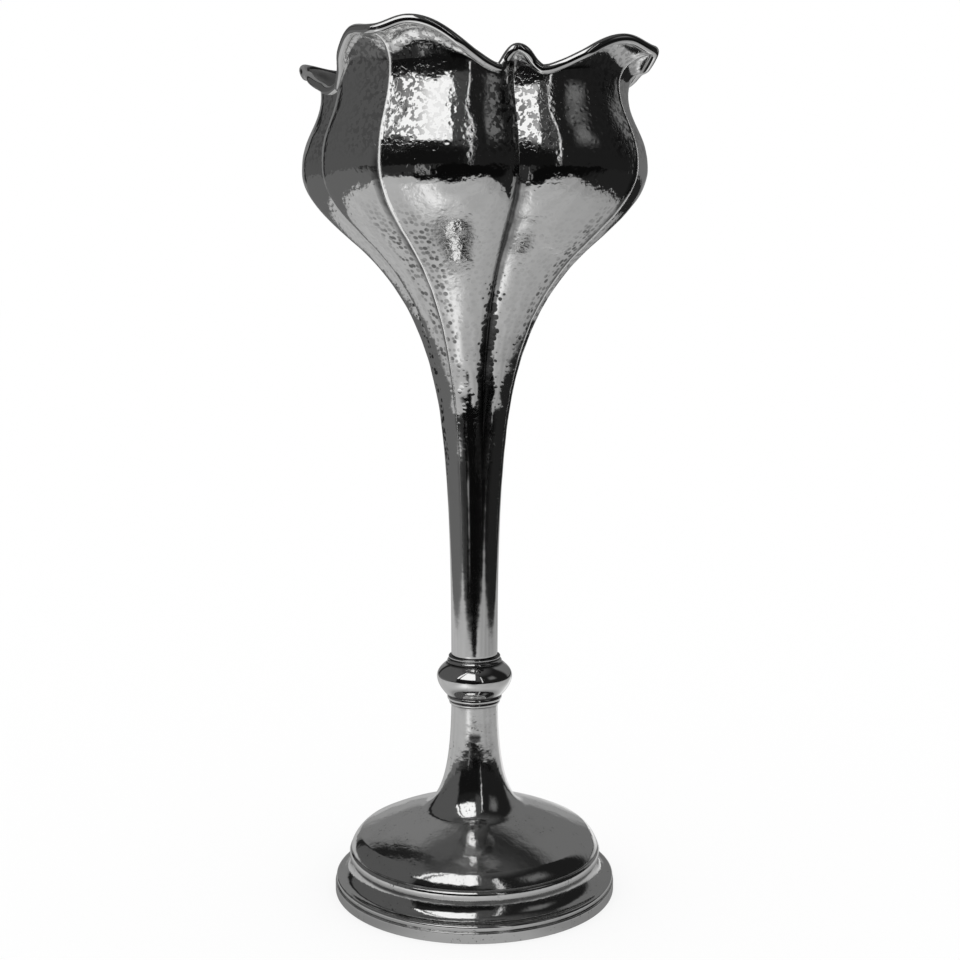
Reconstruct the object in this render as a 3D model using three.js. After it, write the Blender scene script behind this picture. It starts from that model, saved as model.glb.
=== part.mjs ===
// Hand-raised silver flower vase: a four-petal tulip bowl on a hollow stem, a turned knop and a domed foot.
// Millimetres, +Z up. The vase stands on z = 0 with its axis on Z and a petal's rib facing +X, +Y, -X and -Y.
import * as THREE from "three";

// Sheet and solder
const sheet = 0.9; // gauge of the raised silver sheet
const solderFilm = 0.06; // gap that solder fills between two fitted pieces

// Foot, from the table up
const footRadius = 36.6;
const footWireHeight = 2.9;
const footWireWidth = 2.4;
const plinthHeight = 6.2; // from the foot wire to the shoulder wire
const flangeInset = 0.25; // how far the flange's edge stands back from the foot wire
const flangeEdge = 0.7; // upright edge of the flange
const flangeWidth = 1.1; // flat land between the edge and the cove
const shoulderRadius = 32.9; // outside of the shoulder wire
const shoulderHeight = 2.6;
const shoulderWidth = 2.2;
const domeInset = 0.5; // how far the dome's edge stands back from the shoulder wire
const domeHeight = 40.7; // from the shoulder wire to the knop
const throatRadius = 14.1; // where the neck's sweep turns into the dome
const throatHeight = 9.9; // of that turn, above the shoulder wire
const throatSlope = THREE.MathUtils.degToRad(15.2); // fall of the dome there, below level
const neckPull = 18; // length over which the neck stays straight
const throatPull = 6.3; // sweep of the neck into that turn
const crownPull = 10.3; // sweep of that turn into the dome
const domePull = 4; // height over which the dome's edge stays upright

// Knop
const beadRadius = 9.9;
const beadHeight = 8.6;
const beadWaist = 5; // height of the bead's widest ring
const beadFoot = 7.4; // radius of its lower face
const beadHead = 7.2; // radius of its upper face
const topCollarHeight = 1.7;
const topCollarWidth = 1.05;
const lowerCollarHeight = 2.6;
const lowerCollarWidth = 1.15;
const sleeveGrip = 8; // length of the sleeve inside the stem, and inside the neck
const sleeveWall = 0.9;
const sealThickness = 1.2;

// Stem and bowl: heights are from the foot of the stem, radii are at a petal's rib
const stemRadius = 6;
const stemPull = 56; // length over which the stem stays straight
const calyxRadius = 25.3; // where the stem's sweep turns into the bowl
const calyxHeight = 101.5;
const calyxLean = THREE.MathUtils.degToRad(41.9); // of the wall there, from upright
const calyxPull = 26; // sweep of the stem into that turn
const cupPull = 9.8; // sweep of that turn into the bulge
const bulgeRadius = 43.9;
const bulgeHeight = 124.8;
const bulgeRound = 8.5; // height over which the bulge stays upright, above and below
const neckRadius = 38.9;
const neckHeight = 141.8;
const neckRound = 7; // height over which the wall below the neck stays upright
const valleyDepth = 7.2; // of the chased valleys at the bulge
const valleyFade = 0.6; // how the valleys grow with the swelling of the stem: power of its share
const valleyEdge = 3.6; // how late a petal turns into its valley: power of the share of its width
const ribSlope = 0.22; // share of the valley's depth that falls evenly from the rib

// Lip of each petal, counter-clockwise from +X, in shares of the lip's height: rise over the neck at the
// crest before the tip, at the tip, at the crest after it and at the valley that follows, and how far the tip
// bends out. No two are alike, as the hammer left them.
const lipHeight = 13;
const petals = [
  { before: 0.785, tip: 0.63, after: 0.4, valley: 0.49, reach: 0.59 },
  { before: 0.8, tip: 0.7, after: 0.86, valley: 0.4, reach: 0.4 },
  { before: 0.66, tip: 0.72, after: 0.48, valley: 0.14, reach: 0.585 },
  { before: 0.87, tip: 0.785, after: 0.97, valley: 0.57, reach: 0.385 },
];

// Neck under the lip: it climbs where the crest above it is high
const neckFollow = 0.62; // climb for each millimetre of the crest's rise
const neckFree = 4.2; // rise of a crest that leaves the neck where it is
const lipLeast = 1; // least height of lip over the neck
const lipFull = 2; // height of lip at which its outward turn is full

// Lip between the petals' tips: shares run from a petal's rib at 0 to the valley beside it at 1
const crestShare = 0.22;
const dip = 0.36; // rise at the dip beside a valley, as a share of the valley's rise
const dipShare = 0.82;
const lipFlare = 0.16; // outward turn of the lip for each millimetre of rise
const tipRounding = 0.06; // share over which the tip is rounded
const tipSharpness = 2.8; // power of the fall from the tip's reach
const valleyFlare = 1.4; // how much further the lip bends out at the valley
const valleySharpness = 6; // power of the rise to it
const rimWireRadius = 1.1;
const rimSeat = 0.15; // solder between the lip's edge and its wire

// Facets
const turnFacets = 40; // round a turned piece
const facetsPerPetal = 16;
const facetCrowding = 0.35; // how much the facets draw together at rib and valley
const stemRows = 9;
const cupRows = 6;
const neckRows = 5;
const lipRows = 5;
const footRows = 6;
const knopRows = 4;
const wireSides = 8;

// Levels that the pieces share
const plinthFoot = footWireHeight;
const shoulderFoot = plinthFoot + plinthHeight;
const domeFoot = shoulderFoot + shoulderHeight;
const beadLevel = domeFoot + domeHeight;
const stemLevel = beadLevel + beadHeight;
const bulgeLevel = stemLevel + bulgeHeight;
const neckLevel = stemLevel + neckHeight;
const throatRise = neckLevel - bulgeLevel;
const sleeveRadius = stemRadius - sheet - solderFilm;
const sealLevel = stemLevel + sleeveGrip;

const point = (radius, height) => new THREE.Vector2(radius, height);

// Cubic curve between two points, pulled along the direction given at each end
function sweep(from, fromPull, to, toPull) {
  return new THREE.CubicBezierCurve(from, from.clone().add(fromPull), to.clone().sub(toPull), to);
}

// Points of curves that follow one another, each shared end once
function pointsAlong(...curvesAndRows) {
  const [first] = curvesAndRows[0][0].getPoints(1);
  return [first, ...curvesAndRows.flatMap(([curve, rows]) => curve.getPoints(rows).slice(1))];
}

// Closed outline of a sheet: an outer line that runs upwards, and a copy one gauge further in, run down
function sheetOutline(outer) {
  const inner = outer.map((here, i) => {
    const along = outer[Math.min(i + 1, outer.length - 1)].clone().sub(outer[Math.max(i - 1, 0)]).normalize();
    return here.clone().add(point(-along.y, along.x).multiplyScalar(sheet));
  });
  inner[0].y = outer[0].y;
  inner[inner.length - 1].y = outer[outer.length - 1].y;
  return [...outer, ...inner.reverse()];
}

// Piece of revolution about Z from a closed outline that runs upwards on its outside
function turned(outline) {
  return new THREE.LatheGeometry([...outline, outline[0].clone()], turnFacets).rotateX(Math.PI / 2);
}

// Half-round band: flat inside, top and bottom, with a bulging outer face
function halfRoundBand(outerRadius, width, foot, height) {
  const bulge = Math.min(height / 2, width / 2);
  const edge = outerRadius - bulge;
  const middle = foot + height / 2;
  const face = new THREE.EllipseCurve(edge, middle, bulge, height / 2, -Math.PI / 2, Math.PI / 2);
  const inside = outerRadius - width;
  return turned([...face.getPoints(footRows), point(inside, foot + height), point(inside, foot)]);
}

// Heavy band under the flange, with its two outer corners broken
function footWire() {
  const corner = Math.min(footWireWidth, footWireHeight) / 6;
  const inside = footRadius - footWireWidth;
  return turned([
    point(inside, 0),
    point(footRadius - corner, 0),
    point(footRadius, corner),
    point(footRadius, footWireHeight - corner),
    point(footRadius - corner, footWireHeight),
    point(inside, footWireHeight),
  ]);
}

// Flange and cove: an upright edge, a flat land and a hollow quarter up to the seat of the shoulder wire
function footPlinth() {
  const edge = footRadius - flangeInset;
  const land = edge - flangeWidth;
  const seat = shoulderRadius - shoulderWidth / 2;
  const landLevel = plinthFoot + flangeEdge + sheet;
  const [depth, height] = [land - seat, shoulderFoot - landLevel];
  const [side, below] = [-Math.PI, -Math.PI / 2];
  const cove = new THREE.EllipseCurve(land, shoulderFoot, depth, height, below, side, true);
  const underside = new THREE.EllipseCurve(land, shoulderFoot, depth + sheet, height + sheet, side, below);
  return turned([
    point(edge - sheet, plinthFoot),
    point(edge, plinthFoot),
    point(edge, landLevel - sheet / 2),
    point(edge - sheet / 2, landLevel),
    ...cove.getPoints(footRows),
    ...underside.getPoints(footRows),
    point(edge - sheet, landLevel - sheet),
  ]);
}

// Neck and dome of the foot, from the shoulder wire up to the knop
function footDome() {
  const down = point(Math.cos(throatSlope), -Math.sin(throatSlope));
  const edge = point(shoulderRadius - domeInset, domeFoot);
  const throat = point(throatRadius, domeFoot + throatHeight);
  const head = point(stemRadius, beadLevel);
  const dome = sweep(edge, point(0, domePull), throat, down.clone().multiplyScalar(-crownPull));
  const neck = sweep(throat, down.clone().multiplyScalar(-throatPull), head, point(0, neckPull));
  return turned(sheetOutline(pointsAlong([dome, footRows], [neck, footRows])));
}

// Bead of the knop, bored for the sleeve
function knopBead() {
  const waist = point(beadRadius, beadLevel + beadWaist);
  const bore = sleeveRadius + solderFilm;
  const below = new THREE.QuadraticBezierCurve(
    point(beadFoot, beadLevel), point(beadRadius, beadLevel + beadWaist / 2), waist);
  const above = new THREE.QuadraticBezierCurve(
    waist, point(beadRadius, beadLevel + (beadWaist + beadHeight) / 2), point(beadHead, stemLevel));
  const face = pointsAlong([below, knopRows], [above, knopRows]);
  return turned([...face, point(bore, stemLevel), point(bore, beadLevel)]);
}

// Ring with a rounded outer face, widest against the bead and fitted round a tube
function collar(beadFace, height, width) {
  const inside = stemRadius + solderFilm;
  const outside = inside + width;
  const end = beadFace + height;
  const face = new THREE.QuadraticBezierCurve(
    point(outside, beadFace), point(outside, end), point(inside + width / 3, end));
  const outline = [...face.getPoints(knopRows), point(inside, end), point(inside, beadFace)];
  return turned(height > 0 ? outline : outline.reverse());
}

// Tube that lines up stem, bead and neck
function jointSleeve() {
  const foot = beadLevel - sleeveGrip;
  const bore = sleeveRadius - sleeveWall;
  const outside = [point(sleeveRadius, foot), point(sleeveRadius, sealLevel)];
  return turned([...outside, point(bore, sealLevel), point(bore, foot)]);
}

// Disc on the sleeve's upper end, which closes the stem
function stemSealDisc() {
  const top = sealLevel + sealThickness;
  const edge = [point(sleeveRadius, sealLevel), point(sleeveRadius, top)];
  return turned([point(0, sealLevel), ...edge, point(0, top)]);
}

// Rib line of stem and bowl, from the foot of the stem to the neck under the lip
function ribLine() {
  const lean = point(Math.sin(calyxLean), Math.cos(calyxLean));
  const foot = point(stemRadius, stemLevel);
  const calyx = point(calyxRadius, stemLevel + calyxHeight);
  const bulge = point(bulgeRadius, bulgeLevel);
  const neck = point(neckRadius, neckLevel);
  const stem = sweep(foot, point(0, stemPull), calyx, lean.clone().multiplyScalar(calyxPull));
  const cup = sweep(calyx, lean.clone().multiplyScalar(cupPull), bulge, point(0, bulgeRound));
  const throat = sweep(bulge, point(0, bulgeRound), neck, point(0, neckRound));
  return pointsAlong([stem, stemRows], [cup, cupRows], [throat, neckRows]);
}

// Radius at a share of the way from rib to valley: the valleys fade out as the bowl narrows to the stem
function petalRadius(ribRadius, share) {
  const swelling = Math.max(0, ribRadius - stemRadius) / (bulgeRadius - stemRadius);
  const fall = ribSlope * share + (1 - ribSlope) * share ** valleyEdge;
  return ribRadius - valleyDepth * swelling ** valleyFade * fall;
}

// Half a cosine wave from one value to another
const ease = (from, to, part) => from + ((to - from) * (1 - Math.cos(Math.PI * part))) / 2;

// Rise of the lip over the neck: half cosine waves from tip to crest, crest to dip and dip to valley
function lipRise({ petal, crest, valley, share }) {
  const low = dip * valley;
  if (share < crestShare) return lipHeight * ease(petal.tip, crest, share / crestShare);
  if (share < dipShare) return lipHeight * ease(crest, low, (share - crestShare) / (dipShare - crestShare));
  return lipHeight * ease(low, valley, (share - dipShare) / (1 - dipShare));
}

// Outward turn of the lip: with its rise, and more at the tip and at the valley
function lipTurn(place) {
  const rounded = Math.hypot(place.share, tipRounding) - tipRounding;
  const tip = lipHeight * place.petal.reach * Math.max(0, 1 - rounded) ** tipSharpness;
  return lipFlare * lipRise(place) + tip + valleyFlare * place.share ** valleySharpness;
}

// Places round the bowl: the petal, its nearer crest's and valley's rise, the share of the way to that
// valley, the angle, and how far the neck climbs, eased from the middle of one half petal to the next
function placesAround() {
  const count = petals.length;
  const climbs = petals.flatMap(({ before, after }) =>
    [before, after].map((crest) => neckFollow * (lipHeight * crest - neckFree)),
  );
  return Array.from({ length: count * facetsPerPetal }, (_, i) => {
    const rib = Math.round(i / facetsPerPetal);
    const steps = (2 * i) / facetsPerPetal - 2 * rib;
    const side = steps - (facetCrowding * Math.sin(2 * Math.PI * steps)) / (2 * Math.PI);
    const petal = petals[rib % count];
    const { valley } = petals[(side < 0 ? rib + count - 1 : rib) % count];
    const crest = side < 0 ? petal.before : petal.after;
    const place = 2 * rib + side + 1 / 2;
    const half = Math.floor(place);
    const [from, to] = [climbs[half % climbs.length], climbs[(half + 1) % climbs.length]];
    const angle = (Math.PI * (2 * rib + side)) / count;
    return { petal, crest, valley, share: Math.abs(side), angle, climb: ease(from, to, place - half) };
  });
}

// Outer face of the petal body as rows of points, each once round, from the foot of the stem to the lip.
// Above the bulge the rows are spread to the neck's own height at each place.
function petalRows() {
  const rib = ribLine();
  const places = placesAround();
  return Array.from({ length: rib.length + lipRows }, (_, row) => {
    const below = rib[Math.min(row, rib.length - 1)];
    const turn = (Math.max(0, row - rib.length + 1) / lipRows) * (Math.PI / 2);
    const throatShare = Math.max(0, below.y - bulgeLevel) / throatRise;
    return places.map((place) => {
      const climb = Math.min(place.climb, lipRise(place) - lipLeast);
      const lip = lipRise(place) - climb;
      const flare = lipTurn(place) * THREE.MathUtils.smoothstep(lip, 0, lipFull);
      const radius = petalRadius(below.x, place.share) + flare * (1 - Math.cos(turn));
      const height = below.y + throatShare * climb + lip * Math.sin(turn);
      return new THREE.Vector3(radius * Math.cos(place.angle), radius * Math.sin(place.angle), height);
    });
  });
}

// Geometry of rows of points that each close on themselves; joined where the last row meets the first
function skin(rows, joined) {
  const around = rows[0].length;
  const index = [];
  for (let row = 0; row < rows.length - (joined ? 0 : 1); row++) {
    const above = (row + 1) % rows.length;
    for (let i = 0; i < around; i++) {
      const next = (i + 1) % around;
      const [a, b] = [row * around + i, row * around + next];
      const [c, d] = [above * around + next, above * around + i];
      index.push(a, b, c, a, c, d);
    }
  }
  return new THREE.BufferGeometry().setFromPoints(rows.flat()).setIndex(index);
}

// The outer face's rows with the direction of the sheet's outside at each point
function petalFaces() {
  const rows = petalRows();
  const geometry = skin(rows, false);
  geometry.computeVertexNormals();
  const around = rows[0].length;
  const outward = geometry.getAttribute("normal");
  const normals = rows.map((row, r) =>
    row.map((_, i) => new THREE.Vector3().fromBufferAttribute(outward, r * around + i)),
  );
  return { rows, normals };
}

// Bowl and stem: the outer face and a copy one gauge further in, closed at the lip and at the foot
function petalBody() {
  const { rows, normals } = petalFaces();
  const inner = rows.map((row, r) =>
    row.map((here, i) => here.clone().addScaledVector(normals[r][i], -sheet)),
  );
  inner[0].forEach((here) => (here.z = stemLevel));
  return skin([...rows, ...inner.reverse()], true);
}

// Round wire that sits on the lip's edge, outside it in the sheet's own direction
function rimWire() {
  const { rows, normals } = petalFaces();
  const lip = rows[rows.length - 1];
  const outward = normals[normals.length - 1];
  const around = lip.length;
  const rings = lip.map((here, i) => {
    const along = lip[(i + 1) % around].clone().sub(lip[(i + around - 1) % around]).normalize();
    const across = outward[i].clone();
    const away = new THREE.Vector3().crossVectors(across, along).normalize();
    const middle = here.clone().addScaledVector(across, -sheet / 2);
    middle.addScaledVector(away, rimWireRadius + rimSeat);
    return Array.from({ length: wireSides }, (_, side) => {
      const turn = (2 * Math.PI * side) / wireSides;
      const ring = middle.clone().addScaledVector(away, rimWireRadius * Math.cos(turn));
      return ring.addScaledVector(across, rimWireRadius * Math.sin(turn));
    });
  });
  return skin(rings, true);
}

const vase = new THREE.Group();

// Adds a piece in polished silver; roughness grows where the surface is hammered or hidden
function add(name, geometry, roughness) {
  const silver = new THREE.MeshStandardMaterial({ color: 0xdcdcda, metalness: 1, roughness });
  const mesh = new THREE.Mesh(geometry, silver);
  mesh.name = name;
  vase.add(mesh);
}

add("petal_body", petalBody(), 0.22);
add("rim_wire", rimWire(), 0.12);
add("stem_seal_disc", stemSealDisc(), 0.5);
add("joint_sleeve", jointSleeve(), 0.5);
add("knop_top_collar", collar(stemLevel, topCollarHeight, topCollarWidth), 0.14);
add("knop_bead", knopBead(), 0.14);
add("knop_lower_collar", collar(beadLevel, -lowerCollarHeight, lowerCollarWidth), 0.14);
add("foot_dome", footDome(), 0.14);
add("shoulder_wire", halfRoundBand(shoulderRadius, shoulderWidth, shoulderFoot, shoulderHeight), 0.12);
add("foot_plinth", footPlinth(), 0.14);
add("foot_wire", footWire(), 0.16);

export default vase;
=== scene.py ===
"""Hand-hammered silver flower vase: a four-petal tulip bowl with a wired lip on a hollow stem, a turned knop
and a stepped dome foot, on a pale floor among studio cards."""
import math

import bpy
import numpy as np
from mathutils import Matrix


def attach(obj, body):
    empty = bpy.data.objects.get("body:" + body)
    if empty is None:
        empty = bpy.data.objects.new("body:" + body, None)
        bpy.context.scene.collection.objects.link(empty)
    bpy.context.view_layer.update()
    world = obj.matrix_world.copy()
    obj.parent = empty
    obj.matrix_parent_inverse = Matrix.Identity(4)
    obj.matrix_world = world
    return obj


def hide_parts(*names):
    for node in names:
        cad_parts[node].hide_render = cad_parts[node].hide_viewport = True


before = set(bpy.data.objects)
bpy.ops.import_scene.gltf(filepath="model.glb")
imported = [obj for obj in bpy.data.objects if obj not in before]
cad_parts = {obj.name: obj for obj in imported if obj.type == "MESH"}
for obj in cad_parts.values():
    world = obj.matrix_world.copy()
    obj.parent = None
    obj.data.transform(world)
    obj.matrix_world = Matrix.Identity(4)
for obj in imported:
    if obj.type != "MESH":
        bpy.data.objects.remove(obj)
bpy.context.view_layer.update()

# Sizes of foot and knop in millimetres, most of them as in the part's source
MM = 0.001
SHEET = 0.9
FOOT_RADIUS = 36.6
FOOT_BAND_HEIGHT = 2.9
FOOT_BAND_WIDTH = 2.4
FLANGE_INSET = 0.25
FLANGE_EDGE = 0.7
FLANGE_ROUND = 0.7
FLANGE_WIDTH = 1.1
SHOULDER_FOOT = 9.1
SHOULDER_RADIUS = 32.9
SHOULDER_HEIGHT = 2.6
SHOULDER_WIDTH = 2.2
SHOULDER_TAPER = 0.15
DOME_FOOT = SHOULDER_FOOT + SHOULDER_HEIGHT
DOME_INSET = 0.5
BROW = (-2.6, 3.65)
THROAT = (14.4, DOME_FOOT + 9.75)
THROAT_SLOPE = math.radians(17.3)
KNOP_FOOT = DOME_FOOT + 40.7
KNOP_RADIUS = 9.75
KNOP_WAIST = KNOP_FOOT + 4.9
KNOP_FACES = (7.2, 6.9)
KNOP_BORE = 5.1
STEM_FOOT = KNOP_FOOT + 8.6
STEM_RADIUS = 6.0
COLLAR_INSIDE = STEM_RADIUS - 0.2

# How far each curve of the foot keeps its direction at its ends, in millimetres
BROW_CORNER = (-0.75, 2.2)
DOME_SWEEP = (-3.3, 1.7)
THROAT_SWEEPS = (8.5, 6.5)
HEAD_SWEEP = 18.0

# Small dark painted reflection on the front of the neck: from and to across the front, and in height, each
# with its soft edge
NECK_REFLECTION_ACROSS = (-1.6, 1.7, 1.4)
NECK_REFLECTION_HEIGHT = (41.0, 43.2, 1.3)

# Rib of stem and bowl: where its sweeps end (radius, height), how it leans at the calyx, and how far each
# sweep keeps its direction at its ends, in millimetres
CALYX = (25.3, STEM_FOOT + 101.5)
CALYX_LEAN = math.radians(41.9)
BULGE = (43.9, STEM_FOOT + 124.8)
NECK = (38.9, STEM_FOOT + 141.8)
STEM_SWEEP = 56.0
CALYX_SWEEPS = (26.0, 9.8)
BULGE_SWEEPS = (9.0, 8.0)
NECK_SWEEP = 7.0

# Valleys between the ribs: depth in millimetres, the straight part of their fall, the power of the share,
# and the swelling at which they are whole. Then the groove along them, from a share on, which ends between
# two heights
VALLEY_DEPTH = 7.2
RIB_SLOPE = 0.22
VALLEY_POWER = 3.6
VALLEY_FADE = 0.12
GROOVE_SHARE = 0.92
GROOVE_DEPTH = 0.9
GROOVE_POWER = 1.6
GROOVE_TO = (172, 186)

# Relief of the outer face in millimetres: height of the bead along the ribs and its width as a share, and
# depth and pitch of the planishing marks
RIB_BEAD = 0.2
RIB_BEAD_SHARE = 0.011
PLANISHED = 0.11
PLANISH_PITCH = 4.2

# Lip in millimetres and shares: its height, flare and least rise, the rise at which it is turned out fully,
# the rounding of its tips, the turn at the valleys, where crests and dips lie, and how low the dips are
LIP_HEIGHT = 13.0
LIP_FLARE = 0.16
LIP_LEAST = 0.3
LIP_TURNED = 3.5
TIP_ROUND = 0.06
VALLEY_TURN = 1.4
CREST_SHARE = 0.22
DIP_SHARES = (0.78, 0.86)
DIP = 0.36

# Neck under the lip: how far it follows the crests, above which rise, and how softly it is cut. Then the
# wire's radius, and its seat above and outside the edge, in millimetres
NECK_FOLLOW = 0.62
NECK_FREE = 4.2
NECK_CUT_ROUND = 0.04
RIM_WIRE_RADIUS = 1.1
RIM_WIRE_SEAT = (0.7, 0.3)

# Lip of each petal, counter-clockwise from +X. Rises and reach are shares of the lip's height: rise at the
# crest before the tip, at the tip, at the crest after it and at the valley that follows, and reach of the
# tip. Then how fast the reach fades before and after the tip, how upright the lip stands before it, and how
# many millimetres fuller than the others the petal swells
PETAL_COLUMNS = (
    "crest_before", "tip", "crest_after", "valley", "reach", "fade_before", "fade_after", "upright", "fuller")
PETALS = dict(zip(PETAL_COLUMNS, np.array([
    [0.785, 0.64, 0.38, 0.49, 0.50, 2.8, 5.6, 0.0, 0.0],
    [0.80, 0.70, 0.86, 0.40, 0.40, 2.8, 2.8, 0.0, 0.0],
    [0.66, 0.74, 0.51, 0.14, 0.635, 2.8, 4.0, 0.0, 1.0],
    [0.88, 0.82, 0.965, 0.57, 0.385, 5.0, 2.8, 0.06, 0.0],
]).T))
PETAL_COUNT = len(PETALS["tip"])
FRONT_VALLEY = PETAL_COUNT - 1

# Heights in millimetres over which each mark on bowl and stem comes in and goes out again
HAMMERED_FROM = (95, 145)
INSIDE_HAMMERED_FROM = (122, 165)
BEATEN_FROM = (85, 140)
PUNCHED_FROM, PUNCHED_TO = (132, 142), (168, 180)
VALLEY_REFLECTION_FROM, VALLEY_REFLECTION_TO = (104, 114), (146, 172)
VALLEY_REFLECTION_NARROWS = (112, 150)
CREASED_FROM, CREASED_TO = (100, 150), (180, 186)
FLECKED_FROM, FLECKED_TO = (186, 190), (204, 209)
LIP_FLECKED_FROM = (205, 209)
RIB_HIGHLIGHT_FROM = (130, 150)
RIB_SHADE_TO = (180, 196)
RAGGED_BAND = (150, 187, 8)

# Where the marks lie between rib and valley, as shares, with a minus sign on the side before the rib. A band
# has from, to and soft edge, the crease's line from and to, and the line of the painted rib highlight its
# middle and width. Then their strengths, and how wide the painted dark reflection in the valleys is low down
# and high up
PUNCHED_BAND = (0.04, 0.27, 0.1)
FLECKED_BANDS = ((-0.2, 0.28, 0.16), (0.75, 1.2, 0.1))
SHADED_WALL_BAND = (-1.1, -0.905, 0.03)
CREASE_LINE = (0.965, 0.998)
RIB_SHADE_BAND = (-0.085, -0.013, 0.02)
RIB_SHADE_FADE = 7
RIB_HIGHLIGHT_LINE = (0.003, 0.006)
PUNCHED_LEAST = 0.14
FLECKED_LEAST = 0.2
LIP_FLECKED = 0.6
OTHER_VALLEYS = 0.65
VALLEY_REFLECTION_WIDTH_LOW, VALLEY_REFLECTION_WIDTH_HIGH = 0.48, 0.24

# Grids of bowl and wire: columns in half a petal and how they crowd, steps on stem and bowl, rows of the
# lip
BOWL_GRID = {"per_half": 52, "crowding": 0.7, "low_step": 2.4, "high_step": 0.68, "lip_rows": 22}
WIRE_GRID = {"per_half": 110, "crowding": 0.45, "low_step": 4.0, "high_step": 4.0, "lip_rows": 20}
STEPS_SHORTEN = (105, 140)
INNER_ROWS = 44
WIRE_ROWS = 20
FOOT_COLUMNS = 288
KNOP_COLUMNS = 160

# The photograph's camera: its angle about the vase, distance and height in metres, dip, and lens and aim in
# pixels
CAMERA_AZIMUTH = math.radians(29.0)
CAMERA_DISTANCE = 0.39273
CAMERA_HEIGHT = 0.164455
CAMERA_DIP = 0.142
IMAGE_PIXELS = 960.0
LENS_PIXELS = 1554.4
AIM_PIXELS = 5.7
SENSOR_WIDTH = 36.0


def smoothstep(low, high, x):
    """0 below low, 1 above high, and 3t^2 - 2t^3 of the share t between them."""
    t = np.clip((x - low) / (high - low), 0, 1)
    return t * t * (3 - 2 * t)


def window(x, low, high, edge):
    """1 between low and high, 0 outside, with a smooth step as wide as edge at each end."""
    half = edge / 2
    return smoothstep(low - half, low + half, x) * (1 - smoothstep(high - half, high + half, x))


def ridge(x, middle, width):
    """Bell of height 1 at the middle: exp(-((x - middle) / width)^2)."""
    return np.exp(-(((x - middle) / width) ** 2))


def eased(start, end, part):
    """Half a cosine wave from start to end."""
    return start + (end - start) * (1 - np.cos(np.pi * np.clip(part, 0, 1))) / 2


def bezier(*corners, count):
    """Cubic curve of four corners, or quadratic of three: Bernstein sums at count + 1 even steps."""
    t = np.linspace(0, 1, count + 1)[:, None]
    n = len(corners) - 1
    terms = (math.comb(n, k) * t**k * (1 - t) ** (n - k) * np.array(p, float) for k, p in enumerate(corners))
    return sum(terms)


def rounded(corners, radii, count=6):
    """Closed outline with each corner cut by a quadratic curve that starts and ends one radius from it."""
    points = np.array(corners, float)
    ahead = np.roll(points, -1, 0) - points
    ahead /= np.linalg.norm(ahead, axis=1)[:, None]
    behind = np.roll(points, 1, 0) - points
    behind /= np.linalg.norm(behind, axis=1)[:, None]
    reach = np.array(radii, float)[:, None]
    starts, ends = points + behind * reach, points + ahead * reach
    return np.concatenate([bezier(a, b, c, count=count) for a, b, c in zip(starts, points, ends)])


def sheet_outline(outer):
    """Closed outline of a sheet: the outer line upwards, then its copy one gauge to the left, back down."""
    along = np.gradient(outer, axis=0)
    along /= np.linalg.norm(along, axis=1)[:, None]
    inner = outer + SHEET * np.stack([-along[:, 1], along[:, 0]], 1)
    inner[0, 1] = outer[0, 1]
    inner[-1, 1] = outer[-1, 1]
    return np.concatenate([outer, inner[::-1]])


def hand(angle, height, seed, waves=5):
    """Slow unevenness of handwork, from -1 to 1: mean of a few sines round the axis and along it."""
    rng = np.random.default_rng(seed)
    turns = rng.integers(1, 7, waves)
    climbs = rng.uniform(-0.25, 0.25, waves)
    phases = rng.uniform(0, 2 * np.pi, waves)
    return sum(np.sin(k * angle + c * height + p) for k, c, p in zip(turns, climbs, phases)) / waves


def turned(outline, around, unevenness, seed):
    """Outline (radius, height) carried round the axis: each point's circle, its radius uneven by hand()."""
    angle = np.linspace(0, 2 * np.pi, around, endpoint=False)[None, :]
    radius, height = outline[:, :1], outline[:, 1:]
    radius = radius + unevenness * hand(angle, height, seed)
    return np.stack([radius * np.cos(angle), radius * np.sin(angle), height + 0 * angle], -1)


def outward(grid):
    """Unit normals of a grid of points whose columns close round the axis: across round, times up."""
    round_ = np.roll(grid, -1, 1) - np.roll(grid, 1, 1)
    up = np.gradient(grid, axis=0)
    normal = np.cross(round_, up)
    return normal / np.linalg.norm(normal, axis=-1, keepdims=True)


def hammer_marks(points, pitch, seed):
    """Depth of soft round marks, about 0 to 1.5: the sum, over one jittered centre per cube of the pitch, of
    bells exp(-(distance / width)^2). The jitter is what a large sine of the cube's number leaves after the
    point."""
    width = 0.45
    cube_numbers = np.array([73856093, 19349663, 83492791])
    cell = points.reshape(-1, 3) / pitch
    base = np.floor(cell).astype(np.int64)
    depth = np.zeros(len(cell))
    for shift in np.stack(np.meshgrid(*[(-1, 0, 1)] * 3), -1).reshape(-1, 3):
        cube = base + shift
        mixed = cube @ cube_numbers + seed * 2654435
        jitter = np.stack([np.sin(mixed * k) * 43758.5453 % 1.0 for k in (0.7391, 1.3173, 2.1277)], -1)
        depth += np.exp(-np.sum((cube + jitter - cell) ** 2, axis=1) / width**2)
    return depth.reshape(points.shape[:-1])


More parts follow.
